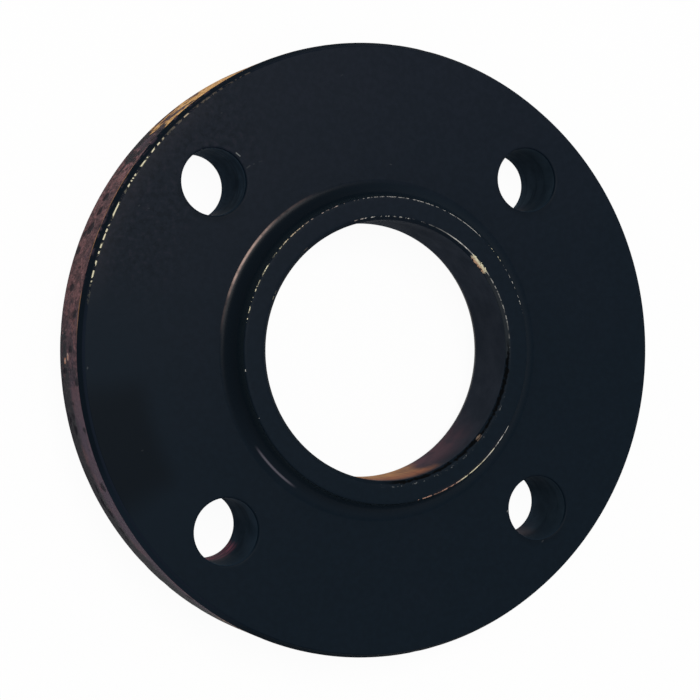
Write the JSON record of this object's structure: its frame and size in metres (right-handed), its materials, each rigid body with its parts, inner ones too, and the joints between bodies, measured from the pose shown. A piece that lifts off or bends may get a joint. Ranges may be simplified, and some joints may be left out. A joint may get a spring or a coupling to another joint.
{
  "type": "lap joint flange",
  "caption": "Round pipe flange with a low hub, a plain bore rounded at its mating face to seat a stub end, and bolt holes on a circle.",
  "frame": {"origin": "centre of the mating face, which the flange lies on", "axes": "+Z along the bore, from the mating face out through the hub; the bolt holes straddle the X and Y axes"},
  "size_m": [0.18, 0.18, 0.029],
  "materials": {
    "paint": "satin blue-black paint on forged steel, worn to the metal in specks along the turned edges and rusty on the rim"
  },
  "bodies": {
    "root": {"flange": "paint"}
  },
  "joints": []
}
